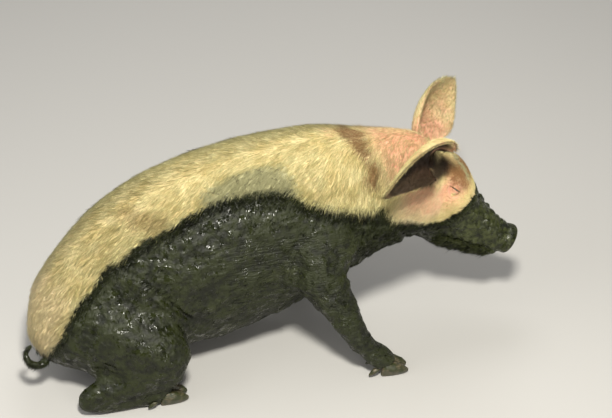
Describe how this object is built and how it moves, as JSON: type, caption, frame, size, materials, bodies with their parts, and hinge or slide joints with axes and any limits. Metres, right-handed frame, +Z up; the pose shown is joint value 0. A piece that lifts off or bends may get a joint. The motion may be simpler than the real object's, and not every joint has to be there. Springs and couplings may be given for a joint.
{
  "type": "pig",
  "caption": "Life-size still model of a young domestic sow sitting low on her haunches, forelegs propped, head lowered, flanks and legs coated in wet mud.",
  "frame": {"origin": "middle of the footprint's box, on the floor that the model sits on", "axes": "+X towards the head, along the body; +Y to the animal's left; +Z up"},
  "size_m": [1.2364, 0.5468, 0.5855],
  "materials": {
    "hide_dry": "dry short cream bristles over pink skin",
    "hide_mud": "wet olive-grey mud over hide",
    "ear_skin": "thin pink skin with fine hairs",
    "horn": "dark muddy horn",
    "eye": "wet dark brown"
  },
  "bodies": {
    "root": {"rump": "hide_dry", "chest": "hide_dry", "neck": "hide_dry", "head": "hide_dry", "belly": "hide_mud", "snout": "hide_mud", "lower_jaw": "hide_mud", "tail": "hide_mud", "ear_right": "ear_skin", "eye_right": "eye", "upper_arm_right": "hide_mud", "forearm_right": "hide_mud", "forefoot_right": "hide_mud", "thigh_right": "hide_mud", "gaskin_right": "hide_mud", "hindfoot_right": "hide_mud", "fore_claw_inner_right": "horn", "fore_dewclaw_inner_right": "horn", "fore_claw_outer_right": "horn", "fore_dewclaw_outer_right": "horn", "hind_claw_inner_right": "horn", "hind_dewclaw_inner_right": "horn", "hind_claw_outer_right": "horn", "hind_dewclaw_outer_right": "horn", "ear_left": "ear_skin", "eye_left": "eye", "upper_arm_left": "hide_mud", "forearm_left": "hide_mud", "forefoot_left": "hide_mud", "thigh_left": "hide_mud", "gaskin_left": "hide_mud", "hindfoot_left": "hide_mud", "fore_claw_inner_left": "horn", "fore_dewclaw_inner_left": "horn", "fore_claw_outer_left": "horn", "fore_dewclaw_outer_left": "horn", "hind_claw_inner_left": "horn", "hind_dewclaw_inner_left": "horn", "hind_claw_outer_left": "horn", "hind_dewclaw_outer_left": "horn"}
  },
  "joints": []
}
